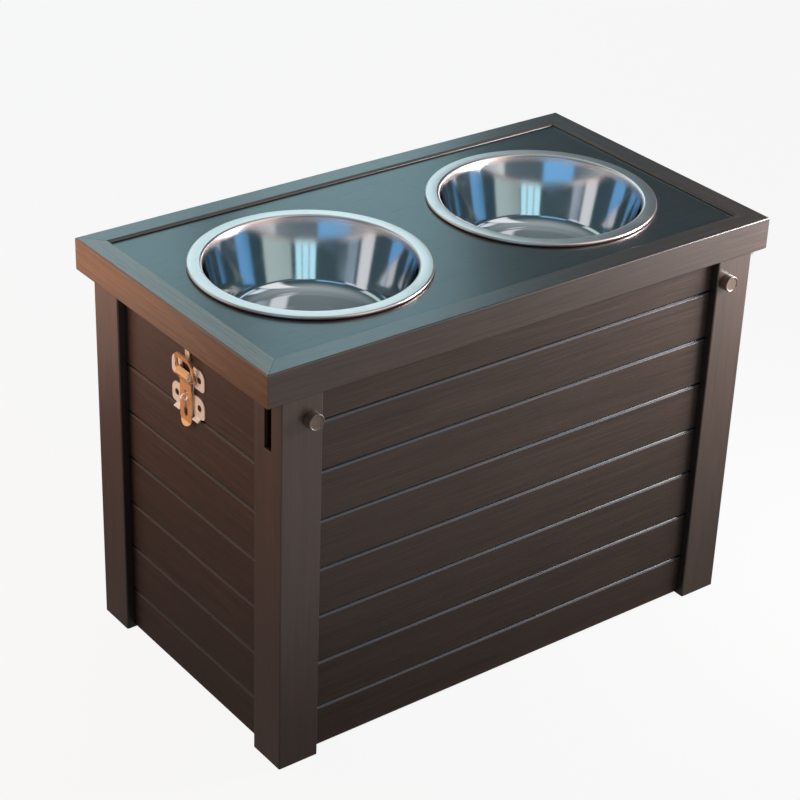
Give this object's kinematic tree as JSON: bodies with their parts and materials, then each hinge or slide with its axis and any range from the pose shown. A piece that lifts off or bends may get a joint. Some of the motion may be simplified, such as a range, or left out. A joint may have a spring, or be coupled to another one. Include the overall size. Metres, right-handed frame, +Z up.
{
  "type": "elevated pet feeder",
  "caption": "Raised pet feeder: steel bowls with flat rims sunk in a framed, hinged lid over a slatted storage box with square corner posts, knobbed pins and a lockable toggle latch.",
  "frame": {"origin": "on the floor, under the middle of the box", "axes": "+X along the long side away from the latch, +Y towards the back, +Z up"},
  "size_m": [0.6, 0.341, 0.434],
  "materials": {
    "post_wood": "dark brown stain, satin",
    "wall_wood": "dark brown stain with a fine grain, satin",
    "inner_wood": "dark brown stain, matt",
    "knob_wood": "dark brown stain, satin",
    "rail_wood": "dark brown stain, satin lacquer",
    "panel_wood": "dark brown stain, satin lacquer",
    "bowl_steel": "satin rim, polished inside",
    "latch_plating": "bright nickel plate, slightly yellow",
    "hinge_steel": "nickel plate, satin",
    "screw_steel": "zinc plate"
  },
  "bodies": {
    "carcass": {"front_left_post": "post_wood", "front_right_post": "post_wood", "rear_left_post": "post_wood", "rear_right_post": "post_wood", "front_slat_1": "wall_wood", "front_slat_2": "wall_wood", "front_slat_3": "wall_wood", "front_slat_4": "wall_wood", "front_slat_5": "wall_wood", "front_slat_6": "wall_wood", "front_slat_7": "wall_wood", "front_slat_8": "wall_wood", "rear_slat_1": "wall_wood", "rear_slat_2": "wall_wood", "rear_slat_3": "wall_wood", "rear_slat_4": "wall_wood", "rear_slat_5": "wall_wood", "rear_slat_6": "wall_wood", "rear_slat_7": "wall_wood", "rear_slat_8": "wall_wood", "left_slat_1": "wall_wood", "left_slat_2": "wall_wood", "left_slat_3": "wall_wood", "left_slat_4": "wall_wood", "left_slat_5": "wall_wood", "left_slat_6": "wall_wood", "left_slat_7": "wall_wood", "right_slat_1": "wall_wood", "right_slat_2": "wall_wood", "right_slat_3": "wall_wood", "right_slat_4": "wall_wood", "right_slat_5": "wall_wood", "right_slat_6": "wall_wood", "right_slat_7": "wall_wood", "floor_board": "inner_wood", "latch_plate": "latch_plating", "latch_pivot": "latch_plating", "latch_screws": "screw_steel", "front_hinge_post_leaf": "hinge_steel", "front_hinge_pin": "hinge_steel", "rear_hinge_post_leaf": "hinge_steel", "rear_hinge_pin": "hinge_steel", "hinge_screws": "screw_steel"},
    "lid": {"front_rail": "rail_wood", "rear_rail": "rail_wood", "left_rail": "rail_wood", "right_rail": "rail_wood", "lid_panel": "panel_wood", "latch_strike": "latch_plating", "front_hinge_lid_leaf": "hinge_steel", "rear_hinge_lid_leaf": "hinge_steel", "lid_screws": "screw_steel"},
    "left_bowl": {"left_bowl": "bowl_steel"},
    "right_bowl": {"right_bowl": "bowl_steel"},
    "front_left_pin": {"front_left_pin": "knob_wood"},
    "front_right_pin": {"front_right_pin": "knob_wood"},
    "rear_left_pin": {"rear_left_pin": "knob_wood"},
    "rear_right_pin": {"rear_right_pin": "knob_wood"},
    "lever": {"latch_lever": "latch_plating"},
    "loop": {"latch_loop": "latch_plating"}
  },
  "joints": [
    {"name": "lid_hinge", "type": "hinge", "parent": "carcass", "child": "lid", "pos_m": [0.28625, 0, 0.39575], "axis": [0, 1, 0], "range_deg": [0, 100]},
    {"name": "left_bowl_lift", "type": "slide", "parent": "lid", "child": "left_bowl", "axis": [0, 0, 1], "range_m": [0, 0.12]},
    {"name": "right_bowl_lift", "type": "slide", "parent": "lid", "child": "right_bowl", "axis": [0, 0, 1], "range_m": [0, 0.12]},
    {"name": "front_left_pin_slide", "type": "slide", "parent": "carcass", "child": "front_left_pin", "axis": [0, -1, 0], "range_m": [0, 0.03]},
    {"name": "front_right_pin_slide", "type": "slide", "parent": "carcass", "child": "front_right_pin", "axis": [0, -1, 0], "range_m": [0, 0.03]},
    {"name": "rear_left_pin_slide", "type": "slide", "parent": "carcass", "child": "rear_left_pin", "axis": [0, 1, 0], "range_m": [0, 0.03]},
    {"name": "rear_right_pin_slide", "type": "slide", "parent": "carcass", "child": "rear_right_pin", "axis": [0, 1, 0], "range_m": [0, 0.03]},
    {"name": "lever_hinge", "type": "hinge", "parent": "carcass", "child": "lever", "pos_m": [-0.28, 0.0045, 0.3515], "axis": [0, 1, 0], "range_deg": [0, 120]},
    {"name": "loop_hinge", "type": "hinge", "parent": "lever", "child": "loop", "pos_m": [-0.2767, 0.0045, 0.347], "axis": [0, 1, 0], "range_deg": [-140, 0]}
  ],
  "couplings": [
    {"joint": "loop_hinge", "follows": "lever_hinge", "ratio": -1.15}
  ]
}
